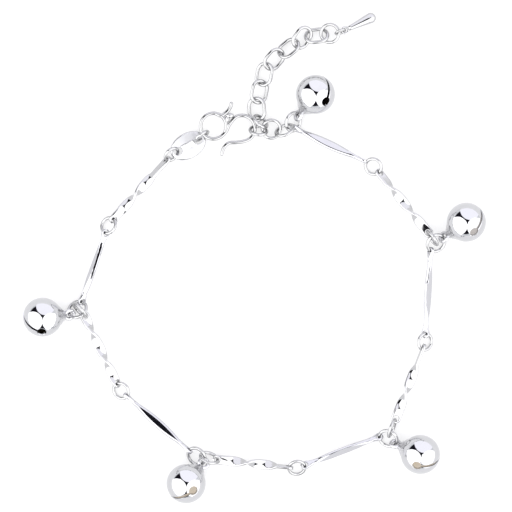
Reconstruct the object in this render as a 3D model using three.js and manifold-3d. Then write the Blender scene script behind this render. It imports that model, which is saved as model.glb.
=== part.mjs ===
// A chain bracelet with five jingle bells, lying on a flat surface with its M-shaped wire
// clasp hooked shut. Millimetres, +Z up. The chain runs once round the open wrist space:
// twisted flat strips and long pressed bars in turn, joined by jump rings, with a bell at
// each bar's far end. An extension of oval links with a small drop hangs from the end ring.

import * as THREE from 'three';
import { mergeVertices } from 'three/addons/utils/BufferGeometryUtils.js';
import Module from 'manifold-3d';

const wasm = await Module();
wasm.setup();

// ---- Driving dimensions. A ring's radius is measured to the middle of its wire.

const RING_WIRE = 0.52;
const PLAIN_RADIUS = 1.31;
const BELL_RING_RADIUS = 1.5;
const TAG_RING_RADIUS = 1.2;
const SURFACE_GAP = 0.01; // between a part that rests and the surface

const HOLE = 1; // in the ends of strips and bars
const STRIP_WIDTH = 1.6;
const STRIP_THICK = 0.5;
const STRIP_END = 0.75; // from a strip's tip to the middle of its hole
const TWIST_PITCH = 9; // length of strip that one full twist takes

const BAR_WIRE = 0.8; // the round wire that a long bar is pressed from
const BAR_FLAT_WIDTH = 1.42;
const BAR_FLAT_THICK = 0.66;
const BAR_EYE_WIDTH = 1.35;
const BAR_EYE_THICK = 0.5;
const BAR_END = 0.66; // from a bar's tip to the middle of its eye

const LINK_WIRE = 0.55;
const LINK_RADIUS = 1.3; // of an oval link's round ends
const LINK_STRAIGHT = 0.95; // length of an oval link's straight sides

const BELL_RADIUS = 3.13;
const BELL_WALL = 0.38;
const BELL_DIP = 25; // degrees that a lying bell's eye points down
const BELL_NECK_ANGLE = 68; // degrees from the equator at which the ball meets its neck
const BELL_NECK_RADIUS = 0.55;
const BELL_NECK_LENGTH = 0.6;
const BELL_EYE_RADIUS = 0.75;
const BELL_EYE_WIRE = 0.6;
const BELL_EYE_REACH = 4.65; // from the ball's middle to the eye's middle
const SLOT_WIDTH = 0.45;
const SLOT_REACH = 70; // degrees from the ball's far pole to the slot's end holes
const SLOT_HOLE = 1.5;
const PELLET_RADIUS = 1.1;
const PELLET_GAP = 0.2;

const CLASP_WIRE = 0.6;
const CLASP_HEIGHT = 1.12; // of the middle of the clasp's wire at the hooked ring
const CLASP_SLOPE = 2.2; // degrees that the clasp rises to pass over the tag
const CLASP_BEAD = 0.52; // radius of the solder that closes the left loop

const TAG_LENGTH = 6.1;
const TAG_WIDTH = 4.1;
const TAG_THICK = 0.5;
const TAG_HOLE = 1.3;
const TAG_HOLE_REACH = 1.84; // from the tag's middle to each hole's middle
const TAG_BAR_LENGTH = 2.3;
const TAG_BAR_WIDTH = 1.1;
const TAG_BAR_RISE = 0.15;

const DROP_LENGTH = 4.9;
const DROP_RADIUS = 0.85;
const DROP_TIP_RADIUS = 0.38;
const DROP_DIP = 6.5; // degrees that the drop slopes down to its round end
const DROP_EYE_RADIUS = 0.5;
const DROP_EYE_WIRE = 0.32;
const DROP_RING_RADIUS = 0.8;
const DROP_RING_WIRE = 0.4;

// ---- Layout on the surface

// A ring's heading is the way that its level diameter points, its tilt is how far it leans
// over on that diameter, and its lift is the gap under its lowest point.
const RINGS = [
  { name: 'tag_ring_clasp', radius: TAG_RING_RADIUS, x: -8.84, y: 25.43, heading: 36, tilt: 78, lift: 0 },
  { name: 'tag_ring_chain', radius: TAG_RING_RADIUS, x: -13.68, y: 22.5, heading: 223, tilt: -54, lift: 0 },
  { name: 'plain_ring_1', radius: PLAIN_RADIUS, x: -23.76, y: 11.12, heading: 240, tilt: 35, lift: 0 },
  { name: 'bell_ring_1', radius: BELL_RING_RADIUS, x: -28.75, y: -2.31, heading: 210, tilt: 37, lift: 0.04 },
  { name: 'link_ring_1', radius: 1.48, x: -28.37, y: -2.39, heading: 313, tilt: 76, lift: 0.11 },
  { name: 'plain_ring_2', radius: PLAIN_RADIUS, x: -21.76, y: -15.36, heading: 310, tilt: 30, lift: 0 },
  { name: 'bell_ring_2', radius: BELL_RING_RADIUS, x: -9.68, y: -25.83, heading: 315, tilt: 37, lift: 0 },
  { name: 'link_ring_2', radius: 1.43, x: -7.68, y: -26.06, heading: 341, tilt: -61, lift: 0.02 },
  { name: 'plain_ring_3', radius: PLAIN_RADIUS, x: 6.4, y: -27.68, heading: 10, tilt: 35, lift: 0 },
  { name: 'bell_ring_3', radius: BELL_RING_RADIUS, x: 21, y: -22.97, heading: 325, tilt: 38, lift: 0 },
  { name: 'link_ring_3', radius: 1.43, x: 21.6, y: -21.29, heading: 70, tilt: 78, lift: 0 },
  { name: 'plain_ring_4', radius: PLAIN_RADIUS, x: 26.91, y: -7.52, heading: 80, tilt: 35, lift: 0 },
  { name: 'bell_ring_4', radius: BELL_RING_RADIUS, x: 28.66, y: 8.3, heading: 38, tilt: 34, lift: 0.02 },
  { name: 'link_ring_4', radius: 1.3, x: 28.04, y: 9.1, heading: 126, tilt: -80, lift: 0.06 },
  { name: 'plain_ring_5', radius: PLAIN_RADIUS, x: 18.64, y: 20.56, heading: 143, tilt: -25, lift: 0 },
  { name: 'bell_ring_5', radius: BELL_RING_RADIUS, x: 5.81, y: 27.69, heading: 70, tilt: 44, lift: 0.17 },
  { name: 'link_ring_5', radius: BELL_RING_RADIUS, x: 4.43, y: 26.36, heading: 24, tilt: -59, lift: 0.01 },
  { name: 'end_ring', radius: 1.46, x: 2.3, y: 26.55, heading: 199, tilt: -10, lift: 0.57 },
  { name: 'hook_ring', radius: 1.34, x: 0.22, y: 26.31, heading: 354, tilt: 122, lift: 0 },
  { name: 'extension_8', radius: 1.45, x: 11.67, y: 41.86, heading: 91, tilt: -12, lift: 0.64 },
  { name: 'extension_ring', radius: 1.26, x: 0.59, y: 27.77, heading: 136, tilt: 62, lift: 0.04 },
];

// Oval links of the extension, placed in the same way with the long axis along the heading.
const LINKS = [
  { x: -0.03, y: 29.74, heading: 95, tilt: -18, lift: 0.07 },
  { x: 0.38, y: 32.54, heading: 78, tilt: 26, lift: 0 },
  { x: 1.17, y: 35.35, heading: 79, tilt: -25, lift: 0.04 },
  { x: 2.76, y: 37.73, heading: 49, tilt: 28, lift: 0.21 },
  { x: 5.06, y: 39.5, heading: 39, tilt: -33, lift: 0.12 },
  { x: 7.24, y: 41.19, heading: 55, tilt: 28, lift: 0.3 },
  { x: 9.54, y: 41.49, heading: 7, tilt: -35, lift: 0 },
];

// Strips and bars run from the wire of one ring to the wire of the next. `at` is the place
// on a ring, in degrees round it from its level diameter. A roll of 0 lays an end flat.
const STRIPS = [
  { from: 'tag_ring_chain', at: 11, roll: 58, to: 'plain_ring_1', toAt: 170, twist: 274 },
  { from: 'link_ring_1', at: 340, roll: -16, to: 'plain_ring_2', toAt: 170, twist: 392 },
  { from: 'link_ring_2', at: 14, roll: 20, to: 'plain_ring_3', toAt: 163, twist: 280 },
  { from: 'link_ring_3', at: 350, roll: 0, to: 'plain_ring_4', toAt: 170, twist: 260 },
  { from: 'link_ring_4', at: 6, roll: 6, to: 'plain_ring_5', toAt: 170, twist: 321 },
];
const BARS = [
  { from: 'plain_ring_1', at: 10, roll: -33, to: 'bell_ring_1', toAt: 218, toRoll: -39 },
  { from: 'plain_ring_2', at: 10, roll: -80, to: 'bell_ring_2', toAt: 190, toRoll: -75 },
  { from: 'plain_ring_3', at: 10, roll: -30, to: 'bell_ring_3', toAt: 210, toRoll: -41 },
  { from: 'plain_ring_4', at: 8, roll: -33, to: 'bell_ring_4', toAt: 200, toRoll: -52 },
  { from: 'plain_ring_5', at: 5, roll: 90, to: 'bell_ring_5', toAt: 235, toRoll: 131 },
];

// A bell's heading is the way that its eye points from the ball, in plan.
const BELLS = [
  { x: -34.22, y: -3.52, heading: 5, eyeRoll: 30, slot: -37 },
  { x: -11.31, y: -30.1, heading: 49, eyeRoll: 8, slot: -58 },
  { x: 26.08, y: -25.44, heading: 157.5, eyeRoll: 48, slot: 52 },
  { x: 33.41, y: 11.63, heading: 214, eyeRoll: 43, slot: 48 },
  { x: 9.33, y: 32.02, heading: 230.4, eyeRoll: 48, slot: 45 },
];

const CLASP_LEFT = { x: -6.96, y: 27.04, radius: 2.06, start: 55, end: 300 };
const CLASP_RIGHT = { x: -2.4, y: 26.67, radius: 2.08, start: 115, end: -80 };
const CLASP_PRONG = [
  { x: -4.03, y: 30.96 },
  { x: -4.27, y: 30.08 },
  { x: -4.88, y: 29.25 },
];
const CLASP_MIDDLE = [
  { x: -4.96, y: 26.16 },
  { x: -4.43, y: 27.28 },
];
const CLASP_TAIL = [
  { x: -3.2, y: 24.43 },
  { x: -4.48, y: 24.32 },
  { x: -5.23, y: 23.68 },
  { x: -5.76, y: 22.24 },
];
const CLASP_BEAD_PLACE = { x: -4.36, y: 28.85 };
const TAG_PLACE = { x: -11.02, y: 23.91, z: 0.92, heading: 30 };
const DROP_RING_PLACE = { x: 13.34, y: 42.1, heading: 20, tilt: 75, lift: 0.42 };
const DROP_PLACE = { x: 14.13, y: 42.37, heading: 26 };

// ---- Materials

const SILVER = { color: 0xd9dadc, roughness: 0.12, metalness: 1 };
const STEEL = { color: 0x9a9ca0, roughness: 0.35, metalness: 1 };

const radians = THREE.MathUtils.degToRad;
const bracelet = new THREE.Group();

// ---- Solids: closed meshes joined and cut

function toSolid(geometry) {
  const bare = geometry.clone();
  bare.deleteAttribute('normal');
  bare.deleteAttribute('uv');
  const merged = mergeVertices(bare, 1e-4);
  const mesh = new wasm.Mesh({
    numProp: 3,
    vertProperties: new Float32Array(merged.attributes.position.array),
    triVerts: new Uint32Array(merged.index.array),
  });
  return new wasm.Manifold(mesh);
}

function toGeometry(solid) {
  const mesh = solid.getMesh();
  const geometry = new THREE.BufferGeometry();
  geometry.setAttribute('position', new THREE.BufferAttribute(mesh.vertProperties, 3));
  geometry.setIndex(new THREE.BufferAttribute(mesh.triVerts, 1));
  return geometry;
}

function addPiece(name, geometry, finish, parent = bracelet) {
  const mesh = new THREE.Mesh(geometry, new THREE.MeshStandardMaterial(finish));
  mesh.name = name;
  parent.add(mesh);
  return mesh;
}

// ---- Rings

function ringHeight(row, wire) {
  return row.radius * Math.abs(Math.sin(radians(row.tilt))) + wire / 2 + SURFACE_GAP + row.lift;
}

function placeRing(mesh, row, wire) {
  mesh.position.set(row.x, row.y, ringHeight(row, wire));
  mesh.rotation.set(radians(row.tilt), 0, radians(row.heading), 'ZYX');
  mesh.updateMatrixWorld();
}

function addRings() {
  for (const row of RINGS) {
    const geometry = new THREE.TorusGeometry(row.radius, RING_WIRE / 2, 6, 18);
    placeRing(addPiece(row.name, geometry, SILVER), row, RING_WIRE);
  }
}

// The middle of a ring's wire, `angle` degrees round from its level diameter.
function wirePoint(ringName, angle) {
  const row = RINGS.find((ring) => ring.name === ringName);
  const turn = radians(angle);
  const point = new THREE.Vector3(row.radius * Math.cos(turn), row.radius * Math.sin(turn), 0);
  return bracelet.getObjectByName(ringName).localToWorld(point);
}

// An oval link is a ring whose two halves are drawn apart by straight sides.
function linkGeometry() {
  const geometry = new THREE.TorusGeometry(LINK_RADIUS, LINK_WIRE / 2, 6, 18);
  const position = geometry.attributes.position;
  for (let i = 0; i < position.count; i += 1) {
    const x = position.getX(i);
    position.setX(i, x + Math.sign(x) * LINK_STRAIGHT / 2);
  }
  return geometry;
}

function addLinks() {
  LINKS.forEach((row, index) => {
    const mesh = addPiece(`extension_${index + 1}`, linkGeometry(), SILVER);
    placeRing(mesh, { ...row, radius: LINK_RADIUS }, LINK_WIRE);
  });
}

// ---- Strips and bars: a round blank pressed to a row of sections

// A section is `across` wide and `deep` thick. Faces pressed flat have a press above 1.
function pressedBlank(sections, rollAt) {
  const steps = sections.length - 1;
  const geometry = new THREE.CylinderGeometry(1, 1, 1, 8, steps, false, Math.PI / 8);
  const position = geometry.attributes.position;
  for (let i = 0; i < position.count; i += 1) {
    const section = sections[Math.round((position.getY(i) + 0.5) * steps)];
    const across = pressed(position.getZ(i), section.sidePress) * section.across / 2;
    const deep = pressed(position.getX(i), section.facePress) * section.deep / 2;
    const roll = rollAt(section.x);
    const y = across * Math.cos(roll) - deep * Math.sin(roll);
    const z = across * Math.sin(roll) + deep * Math.cos(roll);
    position.setXYZ(i, section.x, y, z);
  }
  return toSolid(geometry);
}

function pressed(value, press) {
  return THREE.MathUtils.clamp(value * press, -1, 1);
}

// Rows of sections from one tip, mirrored to the other tip of a piece of the given length.
function mirrored(rows, first, length) {
  const near = rows.map((row) => ({ ...row, x: first + row.from }));
  const far = rows.map((row) => ({ ...row, x: first + length - row.from })).reverse();
  return { near, far };
}

function holeCutter(x, roll) {
  const cutter = new THREE.CylinderGeometry(HOLE / 2, HOLE / 2, STRIP_WIDTH, 12);
  cutter.rotateX(Math.PI / 2 + roll);
  cutter.translate(x, 0, 0);
  return toSolid(cutter);
}

function stripGeometry(reach, row) {
  const width = STRIP_WIDTH;
  const rows = [
    { from: 0, across: width * 0.55 },
    { from: 0.16, across: width * 0.84 },
    { from: 0.45, across: width },
    { from: 1.6, across: width },
  ];
  const { near, far } = mirrored(rows, -STRIP_END, reach + 2 * STRIP_END);
  const twistLength = row.twist / 360 * TWIST_PITCH;
  const twistStart = (reach - twistLength) / 2;
  const turns = 12;
  const middle = [];
  for (let i = 0; i <= turns; i += 1) {
    middle.push({ x: twistStart + twistLength * i / turns, across: width });
  }
  const sections = [...near, ...middle, ...far]
    .map((section) => ({ ...section, deep: STRIP_THICK, sidePress: 1, facePress: 2.4 }))
    .sort((a, b) => a.x - b.x);
  const rollAt = (x) => {
    const part = THREE.MathUtils.clamp((x - twistStart) / twistLength, 0, 1);
    return radians(row.roll - row.twist * part);
  };
  return toGeometry(pressedBlank(sections, rollAt)
    .subtract(holeCutter(0, rollAt(0)))
    .subtract(holeCutter(reach, rollAt(reach))));
}

// A bar's eyes are pressed at a right angle to its middle, so an eye is deep and narrow.
function barGeometry(reach, row) {
  const rows = [
    { from: 0, across: BAR_EYE_THICK * 0.9, deep: BAR_EYE_WIDTH * 0.5, sidePress: 2.4, facePress: 1 },
    { from: 0.18, across: BAR_EYE_THICK, deep: BAR_EYE_WIDTH * 0.86, sidePress: 2.4, facePress: 1 },
    { from: 0.5, across: BAR_EYE_THICK, deep: BAR_EYE_WIDTH, sidePress: 2.4, facePress: 1 },
    { from: 0.85, across: BAR_EYE_THICK, deep: BAR_EYE_WIDTH, sidePress: 2.4, facePress: 1 },
    { from: 1.35, across: BAR_WIRE * 0.8, deep: BAR_WIRE, sidePress: 1.4, facePress: 1 },
    { from: 1.9, across: BAR_WIRE, deep: BAR_WIRE, sidePress: 1, facePress: 1 },
    { from: 2.9, across: BAR_FLAT_WIDTH * 0.76, deep: BAR_WIRE * 0.95, sidePress: 1, facePress: 1.2 },
    { from: 4.6, across: BAR_FLAT_WIDTH * 0.94, deep: BAR_FLAT_THICK, sidePress: 1, facePress: 1.5 },
    { from: 6, across: BAR_FLAT_WIDTH, deep: BAR_FLAT_THICK, sidePress: 1, facePress: 1.6 },
  ];
  const { near, far } = mirrored(rows, -BAR_END, reach + 2 * BAR_END);
  const eyeTurn = Math.PI / 2;
  const rollAt = (x) => {
    const part = THREE.MathUtils.clamp(x / reach, 0, 1);
    return radians(THREE.MathUtils.lerp(row.roll, row.toRoll, part)) - eyeTurn;
  };
  return toGeometry(pressedBlank([...near, ...far], rollAt)
    .subtract(holeCutter(0, rollAt(0) + eyeTurn))
    .subtract(holeCutter(reach, rollAt(reach) + eyeTurn)));
}

// Lays a piece whose local X runs from its first hole to its second between two ring wires.
function addSpan(name, row, shape) {
  const start = wirePoint(row.from, row.at);
  const run = wirePoint(row.to, row.toAt).sub(start);
  const mesh = addPiece(name, shape(run.length(), row), SILVER);
  mesh.position.copy(start);
  mesh.rotation.set(0, -Math.asin(run.z / run.length()), Math.atan2(run.y, run.x), 'ZYX');
}

function addChain() {
  STRIPS.forEach((row, index) => addSpan(`strip_${index + 1}`, row, stripGeometry));
  BARS.forEach((row, index) => addSpan(`bar_${index + 1}`, row, barGeometry));
}

// ---- Bells. The eye is on local +Y, the slot crosses the far pole on -Y.

function bellOutline() {
  const outline = [];
  const arcs = 10;
  for (let i = 0; i <= arcs; i += 1) {
    const angle = radians(THREE.MathUtils.lerp(-90, BELL_NECK_ANGLE, i / arcs));
    const x = i === 0 ? 0 : BELL_RADIUS * Math.cos(angle);
    outline.push(new THREE.Vector2(x, BELL_RADIUS * Math.sin(angle)));
  }
  const neckTop = BELL_RADIUS + BELL_NECK_LENGTH;
  outline.push(new THREE.Vector2(BELL_NECK_RADIUS * 1.67, BELL_RADIUS));
  outline.push(new THREE.Vector2(BELL_NECK_RADIUS * 1.24, BELL_RADIUS + BELL_NECK_LENGTH * 0.4));
  outline.push(new THREE.Vector2(BELL_NECK_RADIUS, neckTop));
  outline.push(new THREE.Vector2(0, neckTop));
  return outline;
}

function slotCutter() {
  const reach = radians(SLOT_REACH);
  const slice = new THREE.Shape();
  slice.moveTo(0, 0);
  slice.absarc(0, 0, BELL_RADIUS + 1, -Math.PI / 2 - reach, -Math.PI / 2 + reach, false);
  slice.closePath();
  const depth = SLOT_WIDTH;
  const plate = new THREE.ExtrudeGeometry(slice, { depth, bevelEnabled: false, curveSegments: 6 });
  plate.translate(0, 0, -depth / 2);
  let cutter = toSolid(plate);
  for (const side of [-1, 1]) {
    const drill = new THREE.CylinderGeometry(SLOT_HOLE / 2, SLOT_HOLE / 2, BELL_RADIUS + 1, 10);
    drill.translate(0, -(BELL_RADIUS + 1) / 2, 0);
    drill.rotateZ(side * reach);
    cutter = cutter.add(toSolid(drill));
  }
  return cutter;
}

function bellGeometry(slotTurn) {
  const ball = toSolid(new THREE.LatheGeometry(bellOutline(), 18));
  const hollow = toSolid(new THREE.SphereGeometry(BELL_RADIUS - BELL_WALL, 12, 8));
  const eye = new THREE.TorusGeometry(BELL_EYE_RADIUS, BELL_EYE_WIRE / 2, 6, 14);
  eye.translate(0, BELL_EYE_REACH, 0);
  const turn = new THREE.Matrix4().makeRotationY(slotTurn);
  const cutter = slotCutter().transform(turn.elements);
  return toGeometry(ball.subtract(hollow).subtract(cutter).add(toSolid(eye)));
}

function addBells() {
  const pellet = new THREE.SphereGeometry(PELLET_RADIUS, 10, 7);
  BELLS.forEach((row, index) => {
    const geometry = bellGeometry(radians(row.slot - row.eyeRoll));
    const bell = addPiece(`bell_${index + 1}`, geometry, SILVER);
    bell.position.set(row.x, row.y, BELL_RADIUS + SURFACE_GAP);
    bell.rotation.set(-radians(BELL_DIP), radians(row.eyeRoll), radians(row.heading - 90), 'ZXY');
    const ball = addPiece(`pellet_${index + 1}`, pellet, STEEL);
    ball.position.set(row.x, row.y, BELL_WALL + PELLET_GAP + PELLET_RADIUS + SURFACE_GAP);
  });
}

// ---- Clasp: one wire bent to two loops

function loopPoints(loop, count) {
  const points = [];
  for (let i = 0; i <= count; i += 1) {
    const angle = radians(THREE.MathUtils.lerp(loop.start, loop.end, i / count));
    const x = loop.x + loop.radius * Math.cos(angle);
    const y = loop.y + loop.radius * Math.sin(angle);
    points.push({ x, y });
  }
  return points;
}

function claspGeometry() {
  const points = [
    ...CLASP_PRONG,
    ...loopPoints(CLASP_LEFT, 8),
    ...CLASP_MIDDLE,
    ...loopPoints(CLASP_RIGHT, 7),
    ...CLASP_TAIL,
  ].map((point) => new THREE.Vector3(point.x, point.y, 0));
  const path = new THREE.CatmullRomCurve3(points, false, 'centripetal');
  const section = new THREE.Shape();
  section.absarc(0, 0, CLASP_WIRE / 2, 0, 2 * Math.PI, false);
  const wire = new THREE.ExtrudeGeometry(section, { extrudePath: path, steps: 56, curveSegments: 4 });
  const bead = new THREE.SphereGeometry(CLASP_BEAD, 10, 8);
  bead.scale(1.2, 1, 0.8);
  bead.translate(CLASP_BEAD_PLACE.x, CLASP_BEAD_PLACE.y, 0);
  return toGeometry(toSolid(wire).add(toSolid(bead)));
}

// ---- Tag: an oval plate with a plain raised bar

function ovalShape(length, width) {
  const shape = new THREE.Shape();
  shape.absellipse(0, 0, length / 2, width / 2, 0, 2 * Math.PI, false, 0);
  return shape;
}

function tagGeometry() {
  const outline = ovalShape(TAG_LENGTH, TAG_WIDTH);
  for (const side of [-1, 1]) {
    const hole = new THREE.Path();
    hole.absarc(side * TAG_HOLE_REACH, 0, TAG_HOLE / 2, 0, 2 * Math.PI, true);
    outline.holes.push(hole);
  }
  const depth = TAG_THICK;
  const plate = new THREE.ExtrudeGeometry(outline, { depth, bevelEnabled: false, curveSegments: 8 });
  plate.translate(0, 0, -depth / 2);
  const raised = new THREE.BoxGeometry(TAG_BAR_LENGTH, TAG_BAR_WIDTH, TAG_THICK / 2 + TAG_BAR_RISE);
  raised.translate(0, 0, (TAG_THICK / 2 + TAG_BAR_RISE) / 2);
  return toGeometry(toSolid(plate).add(toSolid(raised)));
}

function addTag() {
  const mesh = addPiece('tag', tagGeometry(), SILVER);
  mesh.position.set(TAG_PLACE.x, TAG_PLACE.y, TAG_PLACE.z);
  mesh.rotation.z = radians(TAG_PLACE.heading);
}

// ---- Drop: a solid rod that swells to a round end, with an eye at its tip

function dropGeometry() {
  const tip = DROP_EYE_RADIUS;
  const neck = tip + DROP_LENGTH - DROP_RADIUS;
  const outline = [
    new THREE.Vector2(0, tip),
    new THREE.Vector2(DROP_TIP_RADIUS, tip),
    new THREE.Vector2(DROP_TIP_RADIUS * 1.3, THREE.MathUtils.lerp(tip, neck, 0.35)),
    new THREE.Vector2(DROP_RADIUS * 0.88, THREE.MathUtils.lerp(tip, neck, 0.75)),
  ];
  const arcs = 5;
  for (let i = 0; i <= arcs; i += 1) {
    const angle = i / arcs * Math.PI / 2;
    const x = i === arcs ? 0 : DROP_RADIUS * Math.cos(angle);
    outline.push(new THREE.Vector2(x, neck + DROP_RADIUS * Math.sin(angle)));
  }
  const rod = new THREE.LatheGeometry(outline, 12);
  const eye = new THREE.TorusGeometry(DROP_EYE_RADIUS, DROP_EYE_WIRE / 2, 6, 12);
  return toGeometry(toSolid(rod).add(toSolid(eye)));
}

function addDrop() {
  const circle = new THREE.TorusGeometry(DROP_RING_RADIUS, DROP_RING_WIRE / 2, 6, 14);
  const place = { ...DROP_RING_PLACE, radius: DROP_RING_RADIUS };
  placeRing(addPiece('drop_ring', circle, SILVER), place, DROP_RING_WIRE);
  const drop = addPiece('drop', dropGeometry(), SILVER);
  const reach = DROP_EYE_RADIUS + DROP_LENGTH - DROP_RADIUS;
  const rise = reach * Math.sin(radians(DROP_DIP));
  drop.position.set(DROP_PLACE.x, DROP_PLACE.y, DROP_RADIUS + SURFACE_GAP + rise);
  drop.rotation.set(-radians(DROP_DIP), 0, radians(DROP_PLACE.heading - 90), 'ZXY');
}

// ---- Assembly, moved so that the origin is the middle of its box on the surface

addRings();
addLinks();
addChain();
addBells();
const clasp = addPiece('m_clasp', claspGeometry(), SILVER);
clasp.position.z = CLASP_HEIGHT;
clasp.rotation.y = radians(CLASP_SLOPE);
addTag();
addDrop();

const box = new THREE.Box3().setFromObject(bracelet, true);
bracelet.position.set(-(box.min.x + box.max.x) / 2, -(box.min.y + box.max.y) / 2, -box.min.z);

export default bracelet;
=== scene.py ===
# %% [markdown]
# # A bell bracelet, lying with its clasp hooked
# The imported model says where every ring, strip, bar and bell lies. Its solids are coarse, so
# each one is measured here, and a smooth polished piece is made in the same place.
# Working from the measured solids, not from a second list of places, keeps both in step.

import math

import bmesh
import bpy
import numpy as np
from mathutils import Matrix, Vector


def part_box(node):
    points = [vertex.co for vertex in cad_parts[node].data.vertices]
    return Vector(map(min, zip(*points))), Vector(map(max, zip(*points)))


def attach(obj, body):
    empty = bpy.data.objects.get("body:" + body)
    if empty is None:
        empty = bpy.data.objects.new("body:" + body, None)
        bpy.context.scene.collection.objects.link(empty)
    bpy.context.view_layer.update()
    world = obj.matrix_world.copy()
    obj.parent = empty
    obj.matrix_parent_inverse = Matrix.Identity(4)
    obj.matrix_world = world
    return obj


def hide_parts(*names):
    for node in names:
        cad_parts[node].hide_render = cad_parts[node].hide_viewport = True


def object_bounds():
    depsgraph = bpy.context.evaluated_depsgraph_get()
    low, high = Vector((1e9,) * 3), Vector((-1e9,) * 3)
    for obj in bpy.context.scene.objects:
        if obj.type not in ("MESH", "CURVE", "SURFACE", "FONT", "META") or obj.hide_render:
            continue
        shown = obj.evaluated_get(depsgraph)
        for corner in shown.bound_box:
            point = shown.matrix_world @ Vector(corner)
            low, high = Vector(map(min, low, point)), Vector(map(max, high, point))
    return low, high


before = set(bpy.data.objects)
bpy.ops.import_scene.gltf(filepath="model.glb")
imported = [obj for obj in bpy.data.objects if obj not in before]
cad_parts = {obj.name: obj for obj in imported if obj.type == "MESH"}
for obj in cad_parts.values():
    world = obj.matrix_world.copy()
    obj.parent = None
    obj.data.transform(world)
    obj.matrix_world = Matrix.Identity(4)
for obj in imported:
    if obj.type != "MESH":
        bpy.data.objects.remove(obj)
cad_low, cad_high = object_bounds()
MM = 0.001
UP = Vector((0, 0, 1))
print("CAD box in mm:", [round((b - a) / MM, 2) for a, b in zip(cad_low, cad_high)])

# %% [markdown]
# ## Measuring the solids
# A ring, link or strip is known by its middle and the directions in which it is long, broad
# and thin. Those are the principal directions of its points: the eigenvectors of their
# covariance. A level direction is taken wherever a round piece has no long one.

# %% Points and principal directions


def node_points(name):
    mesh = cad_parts[name].data
    flat = np.empty(len(mesh.vertices) * 3)
    mesh.vertices.foreach_get("co", flat)
    return np.unique(flat.reshape(-1, 3).round(8), axis=0)


def directions(points):
    """The long, broad and thin directions of a cloud of points."""
    away = points - points.mean(0)
    columns = np.linalg.eigh(away.T @ away)[1].T[::-1]
    return [Vector(column) for column in columns]


def placed(origin, x_axis, y_axis):
    x_axis = x_axis.normalized()
    z_axis = x_axis.cross(y_axis).normalized()
    turned = Matrix((x_axis, z_axis.cross(x_axis), z_axis)).transposed().to_4x4()
    return Matrix.Translation(origin) @ turned


def local_points(points, place):
    back = np.array(place.inverted())
    return points @ back[:3, :3].T + back[:3, 3]


print("nodes:", len(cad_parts))

# %% [markdown]
# ## Polished silver plating
# The real finish is a bright silver plate over brass, polished before and after plating. It
# could be one mirror shader, but a real one has a faint haze, hairlines from the polishing
# mop and a slightly wavy surface, which break up the reflections at close range. One
# function makes all its kinds, so that wire, sheet and ball differ only in their numbers.

# %% Pattern nodes


def noise(tree, scale, detail, stretch=(1, 1, 1)):
    """A cloudy pattern on Object coordinates, so that it stays in place on its piece."""
    coords = tree.nodes.new("ShaderNodeTexCoord")
    mapping = tree.nodes.new("ShaderNodeMapping")
    mapping.inputs["Scale"].default_value = stretch
    cloud = tree.nodes.new("ShaderNodeTexNoise")
    cloud.inputs["Scale"].default_value = scale
    cloud.inputs["Detail"].default_value = detail
    tree.links.new(coords.outputs["Object"], mapping.inputs["Vector"])
    tree.links.new(mapping.outputs["Vector"], cloud.inputs["Vector"])
    return cloud.outputs["Fac"]


def ranged(tree, value, low, high, start=0.3, end=0.7):
    """Turns a value between start and end into one between low and high."""
    band = tree.nodes.new("ShaderNodeMapRange")
    band.inputs["From Min"].default_value = start
    band.inputs["From Max"].default_value = end
    band.inputs["To Min"].default_value = low
    band.inputs["To Max"].default_value = high
    tree.links.new(value, band.inputs["Value"])
    return band.outputs["Result"]


print("patterns use Object coordinates")

# %% Colour and bump nodes


def mixed(tree, factor, first, second):
    """Goes from the first colour, or from another node's colour, to the second."""
    mix = tree.nodes.new("ShaderNodeMix")
    mix.data_type = "RGBA"
    sockets = {socket.name: socket for socket in mix.inputs if socket.enabled}
    tree.links.new(factor, sockets["Factor"])
    if isinstance(first, bpy.types.NodeSocket):
        tree.links.new(first, sockets["A"])
    else:
        sockets["A"].default_value = (*first, 1)
    sockets["B"].default_value = (*second, 1)
    return next(socket for socket in mix.outputs if socket.enabled)


def bumped(tree, height, strength, depth):
    bump = tree.nodes.new("ShaderNodeBump")
    bump.inputs["Strength"].default_value = strength
    bump.inputs["Distance"].default_value = depth
    tree.links.new(height, bump.inputs["Height"])
    return bump


def bare_metal(name):
    """A new metal, with its node tree and its shader's sockets."""
    material = bpy.data.materials.new(name)
    material.use_nodes = True
    sockets = material.node_tree.nodes["Principled BSDF"].inputs
    sockets["Metallic"].default_value = 1.0
    return material, material.node_tree, sockets


print("bump depths are in metres")

# %% Silver finishes
BALL_COLOUR = (0.56, 0.562, 0.578)
SHEET_COLOUR = (0.5, 0.5, 0.51)
BAR_COLOUR = (0.53, 0.53, 0.555)
WIRE_COLOUR = (0.43, 0.43, 0.436)
PLATE_COLOUR = (0.6, 0.6, 0.62)
TARNISH = (0.86, 0.85, 0.83)  # how much of each colour is left where the plate is oldest
RIPPLE_DEPTH = 0.02 * MM
HAIRLINE_DEPTH = 0.002 * MM
HAIRLINE_STRETCH = (8, 1, 1)


def silver(name, colour, wave, hairline, rough=0.03, haze=0.08):
    material, tree, sockets = bare_metal(name)
    cloud = noise(tree, scale=900, detail=3)
    tree.links.new(ranged(tree, cloud, rough, haze), sockets["Roughness"])
    patches = ranged(tree, noise(tree, scale=420, detail=4), 0, 0.3, start=0.55, end=0.8)
    old = [part * left for part, left in zip(colour, TARNISH)]
    tree.links.new(mixed(tree, patches, colour, old), sockets["Base Color"])
    ripple = bumped(tree, noise(tree, scale=700, detail=1), wave, RIPPLE_DEPTH)
    lines = noise(tree, scale=3000, detail=2, stretch=HAIRLINE_STRETCH)
    scratch = bumped(tree, lines, hairline, HAIRLINE_DEPTH)
    tree.links.new(ripple.outputs["Normal"], scratch.inputs["Normal"])
    tree.links.new(scratch.outputs["Normal"], sockets["Normal"])
    return material


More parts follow.
